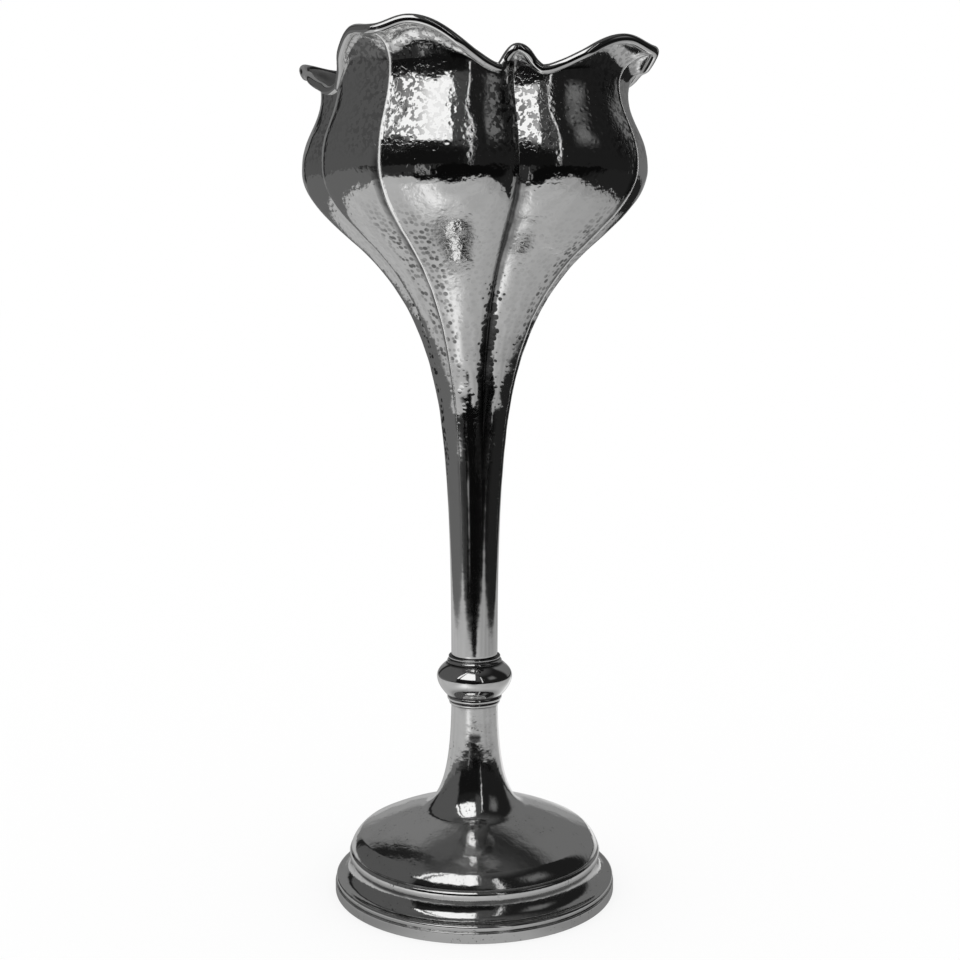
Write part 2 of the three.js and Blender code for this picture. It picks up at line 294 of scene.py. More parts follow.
def rib_line(low_step, high_step):
    """Rib of stem and bowl (radius, height): three cubic sweeps, foot to calyx, bulge and neck, laid out
    again with steps that shorten from low_step on the stem to high_step on the bowl."""
    lean = np.array([math.sin(CALYX_LEAN), math.cos(CALYX_LEAN)])
    up = np.array([0.0, 1.0])
    foot, calyx, bulge, neck = (np.array(p) for p in ((STEM_RADIUS, STEM_FOOT), CALYX, BULGE, NECK))
    line = np.concatenate([
        bezier(foot, foot + STEM_SWEEP * up, calyx - CALYX_SWEEPS[0] * lean, calyx, count=900),
        bezier(calyx, calyx + CALYX_SWEEPS[1] * lean, bulge - BULGE_SWEEPS[0] * up, bulge, count=400)[1:],
        bezier(bulge, bulge + BULGE_SWEEPS[1] * up, neck - NECK_SWEEP * up, neck, count=300)[1:],
    ])
    step = low_step + (high_step - low_step) * smoothstep(*STEPS_SHORTEN, line[1:, 1])
    measure = np.concatenate([[0], np.cumsum(np.linalg.norm(np.diff(line, axis=0), axis=1) / step)])
    rows = np.linspace(0, measure[-1], int(measure[-1]) + 1)
    return np.stack([np.interp(rows, measure, line[:, k]) for k in (0, 1)], 1)


def places_round(per_half, crowding):
    """Columns round the bowl: petal, and share of the way from its rib (0) to the valley before it (-1) or
    after it (1). Steps are drawn together at rib and valley by crowding times a sine."""
    steps = np.tile(np.linspace(-1, 1, 2 * per_half, endpoint=False), PETAL_COUNT)
    petal = np.repeat(np.arange(PETAL_COUNT), 2 * per_half)
    return petal, steps - crowding * np.sin(2 * np.pi * steps) / (2 * np.pi)


def valley_beside(petal, side):
    """Valley that each column's half petal runs down to, by the number of the petal before that valley."""
    return np.where(side < 0, petal - 1, petal) % PETAL_COUNT


def lip(petal, side):
    """Rise and outward turn of the lip at each column. The rise is half cosines from tip to crest, crest to
    dip and dip to valley, with the dip at one share before the tip and another after it. The turn is the
    flare times the rise, less where the lip stands upright (a sine squared of the share), and more towards
    the tip (a fading power) and at the valley (a sixth power)."""
    before = side < 0
    share = np.abs(side)
    crest = np.where(before, PETALS["crest_before"][petal], PETALS["crest_after"][petal])
    fade = np.where(before, PETALS["fade_before"][petal], PETALS["fade_after"][petal])
    upright = np.where(before, PETALS["upright"][petal], 0)
    valley = PETALS["valley"][valley_beside(petal, side)]
    dip_share = np.where(before, *DIP_SHARES)
    near = eased(PETALS["tip"][petal], crest, share / CREST_SHARE)
    middle = eased(crest, DIP * valley, (share - CREST_SHARE) / (dip_share - CREST_SHARE))
    far = eased(DIP * valley, valley, (share - dip_share) / (1 - dip_share))
    rise = LIP_HEIGHT * np.where(share < CREST_SHARE, near, np.where(share < dip_share, middle, far))
    from_tip = np.hypot(share, TIP_ROUND) - TIP_ROUND
    beak = LIP_HEIGHT * PETALS["reach"][petal] * np.maximum(0, 1 - from_tip) ** fade
    flare = LIP_FLARE - upright * np.sin(np.pi * share) ** 2
    return rise, flare * rise + beak + VALLEY_TURN * share**6


def neck_lift(petal, side):
    """How far the neck climbs after the lip: a share of each half petal's crest above a free height, eased by
    half cosines from the middle of one half to the middle of the next."""
    crests = np.stack([PETALS["crest_before"], PETALS["crest_after"]], 1).ravel()
    halves = np.roll(NECK_FOLLOW * (LIP_HEIGHT * crests - NECK_FREE), -1)
    place = 2 * petal + side - 0.5
    before = np.floor(place).astype(int)
    return eased(halves[before % len(halves)], halves[(before + 1) % len(halves)], place - before)


def petal_face(per_half, crowding, low_step, high_step, lip_rows):
    """Outer face of bowl and stem, rows upwards by columns round. Its radius is the rib's, less the valley's
    fall, which is the depth times swelling^0.6, faded out on the stem, times a straight part and a power of
    the share, and less a narrow groove along the valley. From the bulge up the rib's curve is stretched to
    the lifted neck and cut where the lip is lower, and on top comes a quarter ellipse of what is left of the
    lip's rise and turn. Returns the points, and the petal and signed share of each column."""
    petal, side = places_round(per_half, crowding)
    angle = np.pi / PETAL_COUNT * (2 * petal + side)
    rise, turn = lip(petal, side)
    rib = rib_line(low_step, high_step)
    rows = np.concatenate([rib, np.repeat(rib[-1:], lip_rows, 0)])
    part = np.concatenate([np.zeros(len(rib)), np.linspace(0, np.pi / 2, lip_rows + 1)[1:]])[:, None]
    throat = NECK[1] - BULGE[1]
    lifted = throat + neck_lift(petal, side)
    room = (throat + rise - LIP_LEAST) / lifted
    cut = (1 + room - np.hypot(1 - room, NECK_CUT_ROUND)) / 2
    climb = np.clip((rows[:, 1:] - BULGE[1]) / throat, 0, 1)
    known = np.clip((rib[:, 1] - BULGE[1]) / throat, 0, 1)
    swollen = np.where(climb > 0, np.interp(climb * cut, known, rib[:, 0]), rows[:, :1])
    level = rows[:, 1:] + climb * (cut * lifted - throat)
    lip_rise = throat + rise - cut * lifted
    turn = turn * smoothstep(0, LIP_TURNED, lip_rise)
    swelling = np.maximum(0, swollen - STEM_RADIUS) / (BULGE[0] - STEM_RADIUS)
    share = np.abs(side)
    fall = RIB_SLOPE * share + (1 - RIB_SLOPE) * share**VALLEY_POWER
    groove = np.clip((share - GROOVE_SHARE) / (1 - GROOVE_SHARE), 0, 1) ** GROOVE_POWER
    groove = groove * (1 - smoothstep(*GROOVE_TO, level))
    fuller = PETALS["fuller"][petal] * (1 - share**4) * swelling**2
    deepening = swelling**0.6 * smoothstep(0, VALLEY_FADE, swelling)
    radius = swollen + fuller - deepening * VALLEY_DEPTH * fall - swelling * GROOVE_DEPTH * groove
    radius = radius + turn * (1 - np.cos(part))
    height = level + lip_rise * np.sin(part)
    return np.stack([radius * np.cos(angle), radius * np.sin(angle), height], -1), petal, side


def bowl_marks(height, petal, side):
    """Strength of each mark on the outer face, by height and by the share from rib (0) to valley (1): punched
    dots in a band beside the ribs, a painted dark reflection in the valleys that narrows upwards and is
    strongest in the front valley, flecks above the bulge by ribs and valleys and under the lip, a fine
    raggedness across the bulge, a matt white line along each rib as a painted highlight with a dark one
    beside it, and darkening under the wire, over the knop and in the valley's crease, there as tarnish in the
    groove and as painted shade on the wall before the rib."""
    share = np.abs(side)
    beaten = smoothstep(*BEATEN_FROM, height)
    valley_weight = np.where(valley_beside(petal, side) == FRONT_VALLEY, 1.0, OTHER_VALLEYS)
    punched = PUNCHED_LEAST + (1 - PUNCHED_LEAST) * window(share, *PUNCHED_BAND)
    punched = punched * smoothstep(*PUNCHED_FROM, height) * (1 - smoothstep(*PUNCHED_TO, height))
    narrowing = smoothstep(*VALLEY_REFLECTION_NARROWS, height)
    reflection_width = VALLEY_REFLECTION_WIDTH_LOW + (VALLEY_REFLECTION_WIDTH_HIGH - VALLEY_REFLECTION_WIDTH_LOW) * narrowing
    # Painted reflection: black down the valleys, strongest in the front valley
    painted_valley_reflection = valley_weight * ridge(1 - share, 0, reflection_width)
    painted_valley_reflection = painted_valley_reflection * smoothstep(*VALLEY_REFLECTION_FROM, height) * (1 - smoothstep(*VALLEY_REFLECTION_TO, height))
    by_rib, by_valley = (window(share, *band) for band in FLECKED_BANDS)
    flecked = FLECKED_LEAST + (1 - FLECKED_LEAST) * np.maximum(by_rib, by_valley)
    over_bulge = smoothstep(*FLECKED_FROM, height) * (1 - smoothstep(*FLECKED_TO, height))
    flecked = flecked * valley_weight**2 * over_bulge + LIP_FLECKED * smoothstep(*LIP_FLECKED_FROM, height)
    # Painted highlight: a matt white line along each rib that stands in for its bright edge
    painted_rib_highlight = ridge(side, *RIB_HIGHLIGHT_LINE) * beaten * (0.5 + 0.5 * smoothstep(*RIB_HIGHLIGHT_FROM, height))
    # Tarnish in the groove along the valley, and painted shade on the valley's wall before the rib
    crease_and_wall_shade = 0.6 * smoothstep(*CREASE_LINE, share) + 0.62 * window(side, *SHADED_WALL_BAND)
    crease_and_wall_shade = crease_and_wall_shade * smoothstep(*CREASED_FROM, height) * (1 - smoothstep(*CREASED_TO, height))
    rib_shade = window(side, *RIB_SHADE_BAND) * (1 + RIB_SHADE_FADE * side) * beaten
    rib_shade = rib_shade * (1 - 0.75 * smoothstep(*RIB_SHADE_TO, height))
    rows = len(height)
    under_wire = smoothstep(rows - 3.5, rows - 1, np.arange(rows))[:, None]
    at_knop = 1 - smoothstep(STEM_FOOT, STEM_FOOT + 3, height)
    return {
        "hammered": smoothstep(*HAMMERED_FROM, height),
        "punched": punched,
        "flecked": flecked,
        "painted_valley_reflection": painted_valley_reflection,
        "ragged": window(height, *RAGGED_BAND),
        "painted_rib_highlight": painted_rib_highlight,
        "tarnish_and_shade": np.clip(crease_and_wall_shade + rib_shade + 0.8 * under_wire + 0.5 * at_knop, 0, 1),
        "inside": 0 * height,
    }


def petal_bowl():
    """Bowl and stem with its marks: the outer face pushed in by soft planishing marks and out along the ribs
    in a fine bead, and one gauge further in a plainer inner face with a few of its rows."""
    face, petal, side = petal_face(**BOWL_GRID)
    normal = outward(face)
    height = face[..., 2]
    relief = RIB_BEAD * ridge(side, 0, RIB_BEAD_SHARE) - PLANISHED * hammer_marks(face, PLANISH_PITCH, 11)
    outer = face + normal * (smoothstep(*BEATEN_FROM, height) * relief)[..., None]
    rows = np.unique(np.linspace(0, len(face) - 1, INNER_ROWS).astype(int))
    inner = (face - SHEET * normal)[rows]
    inner[0, :, 2] = STEM_FOOT
    inner = inner[::-1]
    plain = np.zeros(inner.shape[:2])
    # Painted shade on the inner face, through inside and tarnish_and_shade
    within = {
        "hammered": 0.35 * smoothstep(*INSIDE_HAMMERED_FROM, inner[..., 2]),
        "tarnish_and_shade": plain + 0.45,
        "inside": plain + 1,
    }
    outside = bowl_marks(height, petal, side)
    marks = {kind: np.concatenate([values, within.get(kind, plain)]) for kind, values in outside.items()}
    return np.concatenate([outer, inner]), marks


def lip_wire():
    """Round wire along the lip's edge: a circle carried along the smoothed line of the edge, seated a little
    above and outside it in the lip's own direction, with tarnish in the seam below it."""
    face, _, _ = petal_face(**WIRE_GRID)
    kernel = np.array([1, 4, 6, 4, 1]) / 16
    edge = face[-1] - 0.5 * SHEET * outward(face)[-1]
    edge = sum(w * np.roll(edge, k, 0) for k, w in zip(range(-2, 3), kernel))
    along = np.roll(edge, -1, 0) - np.roll(edge, 1, 0)
    along /= np.linalg.norm(along, axis=1)[:, None]
    away = face[-1] - face[-5]
    away -= along * np.sum(away * along, 1)[:, None]
    away = sum(w * np.roll(away, k, 0) for k, w in zip(range(-2, 3), kernel))
    away /= np.linalg.norm(away, axis=1)[:, None]
    across = np.cross(along, away)
    middle = edge + RIM_WIRE_SEAT[0] * away - RIM_WIRE_SEAT[1] * across
    turn = np.linspace(0, 2 * np.pi, WIRE_ROWS, endpoint=False)[:, None, None]
    grid = middle + RIM_WIRE_RADIUS * (np.cos(turn) * away + np.sin(turn) * across)
    seam = ridge(np.cos(turn[..., 0]), -1, 0.25) + 0 * grid[..., 0]
    return grid, {"tarnish_and_shade": 0.85 * seam}


def dome_sheet():
    """Neck and dome of the foot as one turned sheet: a steep quadratic brow above the shoulder, a cubic over
    the dome to the throat, and another up the neck. Tarnish lies in the seam with the shoulder, along the
    brow and under the collar, and one small dark mark on the side of the neck facing the camera is a painted
    reflection."""
    down = np.array([math.cos(THROAT_SLOPE), -math.sin(THROAT_SLOPE)])
    edge = np.array([SHOULDER_RADIUS - DOME_INSET, DOME_FOOT])
    throat = np.array(THROAT)
    head = np.array([STEM_RADIUS, KNOP_FOOT])
    brow = edge + BROW
    outer = np.concatenate([
        bezier(edge, edge + BROW_CORNER, brow, count=18),
        bezier(brow, brow + DOME_SWEEP, throat + THROAT_SWEEPS[0] * down, throat, count=40)[1:],
        bezier(throat, throat - THROAT_SWEEPS[1] * down, head - (0, HEAD_SWEEP), head, count=44)[1:],
    ])
    grid = turned(sheet_outline(outer), FOOT_COLUMNS, 0.05, 3)
    x, y, height = np.moveaxis(grid, -1, 0)
    seen = (np.arange(len(grid)) < len(outer))[:, None]
    seam = 1 - smoothstep(DOME_FOOT, DOME_FOOT + 0.7, height)
    brow_band = window(height, DOME_FOOT + 0.5, DOME_FOOT + 4.6, 1.2)
    under_collar = smoothstep(KNOP_FOOT - 4.2, KNOP_FOOT - 2.4, height)
    across = np.cos(CAMERA_AZIMUTH) * x + np.sin(CAMERA_AZIMUTH) * y
    front = x * np.sin(CAMERA_AZIMUTH) - y * np.cos(CAMERA_AZIMUTH) > 0
    # Painted reflection: a small dark mark on the side of the neck that faces the camera
    painted_neck_reflection = window(across, *NECK_REFLECTION_ACROSS) * window(height, *NECK_REFLECTION_HEIGHT) * front
    tarnish_and_shade = np.clip(0.9 * seam + 0.25 * brow_band + 0.6 * under_collar + painted_neck_reflection, 0, 1)
    return grid, {"tarnish_and_shade": np.where(seen, tarnish_and_shade, 0.5), "inside": 1.0 - seen + 0 * height}


def knop_bead():
    """Turned bead: two quadratic curves from its lower face to its waist and on to its upper face, and the
    bore, with tarnish in the seams above and below."""
    low, waist, high = (KNOP_FACES[0], KNOP_FOOT), (KNOP_RADIUS, KNOP_WAIST), (KNOP_FACES[1], STEM_FOOT)
    outline = np.concatenate([
        bezier(low, (KNOP_RADIUS, KNOP_FOOT + 2.6), waist, count=20),
        bezier(waist, (KNOP_RADIUS - 0.05, KNOP_FOOT + 6.7), high, count=20)[1:],
        bezier(high, (KNOP_BORE, STEM_FOOT), (KNOP_BORE, STEM_FOOT - 1), count=3)[1:],
        bezier((KNOP_BORE, KNOP_FOOT + 1), (KNOP_BORE, KNOP_FOOT), low, count=3)[:-1],
    ])
    grid = turned(outline, KNOP_COLUMNS, 0.05, 7)
    height = grid[..., 2]
    return grid, {"tarnish_and_shade": 1 - smoothstep(0, 0.9, np.minimum(height - KNOP_FOOT, STEM_FOOT - height))}


def upper_collar():
    """Ring round the foot of the stem: three quadratic curves, over a broad foot, through a hollow and over a
    rolled top edge, with tarnish in the hollow and at both ends."""
    foot, hollow, roll, top = (STEM_FOOT + rise for rise in (0, 0.75, 1.25, 1.75))
    outline = np.concatenate([
        bezier((7.1, foot), (7.15, foot + 0.5), (6.75, hollow), count=6),
        bezier((6.75, hollow), (6.35, hollow + 0.2), (6.7, roll), count=6)[1:],
        bezier((6.7, roll), (6.8, top), (6.15, top), count=6)[1:],
        np.array([[COLLAR_INSIDE, top], [COLLAR_INSIDE, foot]]),
    ])
    grid = turned(outline, KNOP_COLUMNS, 0.04, 9)
    height = grid[..., 2]
    seams = ridge(height, hollow + 0.2, 0.25) + ridge(height, foot, 0.3) + ridge(height, top, 0.2)
    return grid, {"tarnish_and_shade": np.clip(seams, 0, 1)}


def lower_collar():
    """Ring round the head of the foot's neck: four quadratic curves, over a small roll, into a groove and
    over a wider roll, with tarnish in the groove and at both ends."""
    foot, waist, groove, roll, top = (KNOP_FOOT - drop for drop in (2.6, 1.95, 1.45, 0.75, 0))
    outline = np.concatenate([
        bezier((6.1, foot), (6.65, foot + 0.05), (6.62, waist), count=6),
        bezier((6.62, waist), (6.6, groove - 0.05), (6.35, groove), count=5)[1:],
        bezier((6.35, groove), (7.15, groove), (7.1, roll), count=7)[1:],
        bezier((7.1, roll), (7.05, top - 0.2), (6.7, top), count=6)[1:],
        np.array([[COLLAR_INSIDE, top], [COLLAR_INSIDE, foot]]),
    ])
    grid = turned(outline, KNOP_COLUMNS, 0.04, 13)
    height = grid[..., 2]
    seams = ridge(height, groove, 0.28) + ridge(height, top, 0.3) + ridge(height, foot, 0.3)
    return grid, {"tarnish_and_shade": np.clip(seams, 0, 1)}


def shoulder_band():
    """Flattened wire round the dome's edge: an upright outline with well rounded outer corners, turned, with
    tarnish along its foot."""
    inside = SHOULDER_RADIUS - SHOULDER_WIDTH
    corners = [
        (inside, SHOULDER_FOOT),
        (SHOULDER_RADIUS - SHOULDER_TAPER, SHOULDER_FOOT),
        (SHOULDER_RADIUS, DOME_FOOT),
        (inside, DOME_FOOT),
    ]
    grid = turned(rounded(corners, [0.1, 0.6, 1.5, 0.1]), FOOT_COLUMNS, 0.05, 17)
    return grid, {"tarnish_and_shade": 0.8 * (1 - smoothstep(0, 0.4, grid[..., 2] - SHOULDER_FOOT))}


def cove_sheet():
    """Flange and cove below the shoulder: an upright edge, a flat land and a hollow quarter of an ellipse,
    with the sheet's underside one gauge in, painted shade on the cove under the shoulder, and tarnish in the
    seam with the foot's band."""
    edge = FOOT_RADIUS - FLANGE_INSET
    land = edge - FLANGE_WIDTH
    seat = SHOULDER_RADIUS - SHOULDER_WIDTH / 2
    level = FOOT_BAND_HEIGHT + FLANGE_EDGE + SHEET
    arc = np.linspace(-np.pi / 2, -np.pi, 25)
    depth, height = land - seat, SHOULDER_FOOT - level
    hollow, under = (
        np.stack([land + (depth + in_) * np.cos(arc), SHOULDER_FOOT + (height + in_) * np.sin(arc)], 1)
        for in_ in (0, SHEET))
    outer = np.concatenate([
        np.array([[edge - SHEET, FOOT_BAND_HEIGHT], [edge, FOOT_BAND_HEIGHT]]),
        bezier((edge, level - FLANGE_ROUND), (edge, level), (edge - FLANGE_ROUND, level), count=7),
        hollow,
    ])
    outline = np.concatenate([outer, under[::-1], np.array([[edge - SHEET, level - SHEET]])])
    grid = turned(outline, FOOT_COLUMNS, 0.05, 19)
    rise = grid[..., 2]
    seen = (np.arange(len(grid)) < len(outer))[:, None]
    # Painted shade: the top of the cove darkened under the shoulder band
    painted_shade_under_shoulder = 1 - smoothstep(0.6, 1.9, SHOULDER_FOOT - rise)
    seam = 1 - smoothstep(0, 0.4, rise - FOOT_BAND_HEIGHT)
    tarnish_and_shade = np.clip(painted_shade_under_shoulder + 0.5 * seam, 0, 1)
    return grid, {"tarnish_and_shade": np.where(seen, tarnish_and_shade, 0.5), "inside": 1.0 - seen + 0 * rise}


def foot_band():
    """Heavy band on which the vase stands: a rectangle with rounded corners, turned, with tarnish at its top
    and painted shade at its foot, where it stands on the floor."""
    inside = FOOT_RADIUS - FOOT_BAND_WIDTH
    corners = [(inside, 0), (FOOT_RADIUS, 0), (FOOT_RADIUS, FOOT_BAND_HEIGHT), (inside, FOOT_BAND_HEIGHT)]
    grid = turned(rounded(corners, [0.2, 0.5, 0.45, 0.2]), FOOT_COLUMNS, 0.06, 23)
    height = grid[..., 2]
    at_top = smoothstep(FOOT_BAND_HEIGHT - 0.5, FOOT_BAND_HEIGHT, height)
    # Painted shade along the foot of the band, where it stands on the floor
    painted_contact_shade = 1 - smoothstep(0, 0.5, height)
    return grid, {"tarnish_and_shade": 0.3 * at_top + 0.6 * painted_contact_shade}


class Shade:
    """A socket in a material's node tree, or with no socket the bare tree. Python's operators on it add Math
    nodes, and node() any other."""

    def __init__(self, tree, socket=None):
        self.tree, self.socket = tree, socket

    def node(self, kind, settings=(), inputs=(), output=0):
        """Adds a node: its settings are set first, then each socket gets a value or a link."""
        made = self.tree.nodes.new("ShaderNode" + kind)
        for name, setting in dict(settings).items():
            setattr(made, name, setting)
        for key, given in dict(inputs).items():
            if isinstance(given, Shade):
                self.tree.links.new(given.socket, made.inputs[key])
            else:
                made.inputs[key].default_value = given
        return Shade(self.tree, made.outputs[output] if len(made.outputs) else None)

    def attribute(self, name):
        """Value of the mesh's attribute, 0 where the mesh has none."""
        return self.node("Attribute", {"attribute_name": name}, output="Fac")

    def noise(self, place, scale, detail):
        """Cloudy noise round 0.5 at a place, with as many cells to a metre as the scale says."""
        return self.node("TexNoise", {}, {"Vector": place, "Scale": scale, "Detail": detail})

    def math(self, operation, *terms):
        return self.node("Math", {"operation": operation}, enumerate(terms))

    def __add__(self, other):
        return self.math("ADD", self, other)

    __radd__ = __add__

    def __sub__(self, other):
        return self.math("SUBTRACT", self, other)

    def __rsub__(self, other):
        return self.math("SUBTRACT", other, self)

    def __mul__(self, other):
        return self.math("MULTIPLY", self, other)

    __rmul__ = __mul__

    def most(self, other):
        """The greater of this value and another."""
        return self.math("MAXIMUM", self, other)

    def step(self, low, high):
        """Smooth step of this value from 0 at low to 1 at high."""
        return self.node("MapRange", {"interpolation_type": "SMOOTHSTEP"},
                         {"Value": self, "From Min": low, "From Max": high})

    def blend(self, low, high):
        """Colour between two colours, by this value: a Mix node has them on sockets 6 and 7, and output 2."""
        colours = {6: low if isinstance(low, Shade) else (*low, 1), 7: (*high, 1)}
        return self.node("Mix", {"data_type": "RGBA"}, {0: self, **colours}, output=2)


# Finish of the silver: its colours, how many noise cells and punch marks go to a metre, depths of its
# relief in metres, and the values between which each mark comes in
BRIGHT = (0.90, 0.90, 0.895)
DULL = (0.62, 0.62, 0.61)
SOOT_AND_SHADE = (0.10, 0.10, 0.10)
FILM = (0.70, 0.70, 0.69)
RIB_HIGHLIGHT_WHITE = (0.92, 0.92, 0.91)
SHADED = (0.2, 0.2, 0.196)
DRIFT_SCALE, CLOUD_SCALE, GRAIN_SCALE, SPECK_SCALE, PUNCH_SCALE = 45.0, 260.0, 900.0, 1500.0, 740.0
PUNCH_RANDOMNESS = 0.65
DRIFT_DEPTH = 0.00012
WORN_DEPTH, WORN_SPECK_DEPTH = 0.00012, 0.000004
DENT_DEPTH, DENT_SPREAD, FLECK_DEPTH = 0.000008, 0.000018, 0.00002
BEATEN_DEPTH, RAGGED_DEPTH = 0.00002, 0.00005
SOOT_AND_SHADE_STEP = (0.25, 0.95)
FILM_STEP = (0.52, 0.75)
WORN_SPECK_STEP, WORN_CLOUD_STEP = (0.60, 0.72), (0.48, 0.62)
BLOW_STEP, DENT_STEP, DOT_STEP = (0.2, 0.8), (0.34, 0.78), (0.34, 0.56)
FLECK_STEP, PATCH_STEP = (0.495, 0.555), (0.40, 0.60)
VALLEY_REFLECTION_STEP = (-0.12, 0.04)


def blank(name):
    """New material with an empty node tree."""
    material = bpy.data.materials.new(name)
    material.use_nodes = True
    material.node_tree.nodes.clear()
    return material, Shade(material.node_tree)


def silver(name, hammer, gloss, wear=0.0, bright=BRIGHT):
    """Polished silver: bright metal that darkens, with soot and painted shade, where the tarnish_and_shade
    attribute is high, broken up by noise, with a thin film and fine specks in its gloss. Wear adds shallow
    ripples, specks of soot and more film. With hammer, small marks are pressed in where the hammered
    attribute is high, and there are dark round dots where punched is, black flecks where flecked is, dots run
    together into a painted dark reflection where painted_valley_reflection is, a fine unevenness where ragged
    is, and matt white metal as a painted highlight where painted_rib_highlight is. Inner faces, where inside
    is, are painted darker as shade."""
    material, bench = blank(name)
    place = bench.node("TexCoord", output="Object")
    tarnish_and_shade, inside = bench.attribute("tarnish_and_shade"), bench.attribute("inside")
    cloud = bench.noise(place, CLOUD_SCALE, 3.0)
    drift = bench.noise(place, DRIFT_SCALE, 2.0)
    specks = bench.noise(place, SPECK_SCALE, 3.0)
    # Darkening from the tarnish_and_shade attribute: tarnish in seams and painted shade
    soot_and_shade = (tarnish_and_shade * (0.55 + 0.9 * cloud)).step(*SOOT_AND_SHADE_STEP)
    film = (0.5 * drift + 0.5 * cloud).step(*(bound - 0.1 * wear for bound in FILM_STEP))
    height = DRIFT_DEPTH * drift
    metal = 1.0
    if wear:
        height = height + wear * (WORN_DEPTH * cloud + WORN_SPECK_DEPTH * specks)
        soot_and_shade = soot_and_shade.most(wear * specks.step(*WORN_SPECK_STEP) * cloud.step(*WORN_CLOUD_STEP))
    if hammer:
        grain = bench.noise(place, GRAIN_SCALE, 2.0)
        punch = {"Vector": place, "Scale": PUNCH_SCALE, "Randomness": PUNCH_RANDOMNESS}
        away = bench.node("TexVoronoi", {"feature": "F1"}, punch)
        blow = bench.node("TexVoronoi", {"feature": "F1"}, punch, output="Color").step(*BLOW_STEP)
        dent = (DENT_DEPTH + DENT_SPREAD * blow) * (1 - (away + 0.5 * grain).step(*DENT_STEP))
        fleck = bench.attribute("flecked") * grain.step(*FLECK_STEP) * (0.6 + 0.4 * drift.step(*PATCH_STEP))
        dot = bench.attribute("punched") * (1 - away.step(*DOT_STEP)) * (0.45 + 0.4 * blow)
        # Painted reflection: dots run together into black down the valleys
        valley_reflection = (bench.attribute("painted_valley_reflection") - 0.85 * away - 0.5 * grain).step(*VALLEY_REFLECTION_STEP)
        soot_and_shade = soot_and_shade.most(0.95 * fleck).most(dot).most(valley_reflection)
        height = height - bench.attribute("hammered") * dent - FLECK_DEPTH * fleck
        height = height + BEATEN_DEPTH * cloud + RAGGED_DEPTH * (bench.attribute("ragged") * grain)
    colour = (0.22 * film).blend(soot_and_shade.blend(bright, SOOT_AND_SHADE), FILM)
    if hammer:
        # Painted highlight: matt white, not metal, along the ribs
        painted_rib_highlight = bench.attribute("painted_rib_highlight")
        colour = painted_rib_highlight.blend(colour, RIB_HIGHLIGHT_WHITE)
        metal = 1 - painted_rib_highlight
    shader = bench.node("BsdfPrincipled", {}, {
        # Painted shade: inner faces darkened towards SHADED and made rougher
        "Base Color": (0.75 * inside).blend(colour, SHADED),
        "Metallic": metal,
        "Roughness": gloss + 0.16 * soot_and_shade + 0.05 * film + 0.03 * specks + 0.2 * inside,
        "Normal": bench.node("Bump", {}, {"Strength": 1.0, "Distance": 1.0, "Height": height}),
    })
    bench.node("OutputMaterial", {}, {"Surface": shader})
    return material


def placed(name, points, quads, material):
    """Object at the origin with a mesh of these points, in metres, and quads."""
    mesh = bpy.data.meshes.new(name)
    mesh.from_pydata(points.reshape(-1, 3).tolist(), [], quads.tolist())
    mesh.materials.append(material)
    made = bpy.data.objects.new(name, mesh)
    bpy.context.scene.collection.objects.link(made)
    return made


def put_values(made, kind, values):
    """Keeps values on the points of an object's mesh, as an attribute of this kind."""
    attribute = made.data.attributes.new(kind, "FLOAT", "POINT")
    attribute.data.foreach_set("value", np.ascontiguousarray(values, np.float32).ravel())


def piece(name, form, node, finish):
    """Object of a grid that closes on itself both ways, with its attributes, in place of its CAD node."""
    grid, marks = form
    index = np.arange(grid[..., 0].size).reshape(grid.shape[:2])
    ahead = np.roll(index, -1, 1)
    quads = np.stack([index, ahead, np.roll(ahead, -1, 0), np.roll(index, -1, 0)], -1).reshape(-1, 4)
    made = placed(name, grid * MM, quads, finish)
    made.data.polygons.foreach_set("use_smooth", np.ones(len(quads), bool))
    for kind, values in marks.items():
        put_values(made, kind, values)
    made.data.update()
    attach(made, "root")
    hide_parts(node)
    return made


hammered_silver = silver("hammered_silver", True, 0.05)
polished_silver = silver("polished_silver", False, 0.05, wear=0.25)
worn_silver = silver("worn_silver", False, 0.07, wear=0.8)
inner_silver = silver("inner_silver", False, 0.35, bright=DULL)

piece("petal_bowl", petal_bowl(), "petal_body", hammered_silver)
piece("lip_wire", lip_wire(), "rim_wire", polished_silver)
piece("upper_collar", upper_collar(), "knop_top_collar", polished_silver)
piece("knop", knop_bead(), "knop_bead", polished_silver)
piece("lower_collar", lower_collar(), "knop_lower_collar", polished_silver)
piece("dome", dome_sheet(), "foot_dome", worn_silver)
piece("shoulder_band", shoulder_band(), "shoulder_wire", worn_silver)
piece("cove", cove_sheet(), "foot_plinth", worn_silver)
piece("foot_band", foot_band(), "foot_wire", worn_silver)
for node in ("stem_seal_disc", "joint_sleeve"):
    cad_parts[node].data.materials.clear()
    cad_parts[node].data.materials.append(inner_silver)

# Studio round the vase, in metres and degrees. Each patch of the room: azimuth from the camera, from and
# to, elevation from and to, width of its soft edge, and its grey
ROOM_RADIUS = 2.0
ROOM_MIDDLE = (0, 0, 0.12)
ROOM_GREY = 0.012
ROOM_PATCHES = (
    (-185, -58, -10, 66, 6, 0.086),
    (-185, -148, -10, 50, 10, 0.19),
    (121, 185, -10, 50, 12, 0.15),
    (-147, -139, -10, 72, 2.5, 0.012),
    (-185, -162, -10, 8, 6, 0.30),
    (162, 185, -10, 8, 6, 0.30),
    (-56, 16, -10, 16, 5, 0.006),
    (2, 20, 20, 62, 4, 0.055),
    (-185, 185, 64, 120, 30, 0.07),
    (22.5, 25.5, -10, 10, 1.6, 0.2),
    (22.4, 25.4, 8, 54, 1.4, 0.8),
    (51, 75, 23, 43, 15, 0.14),
)

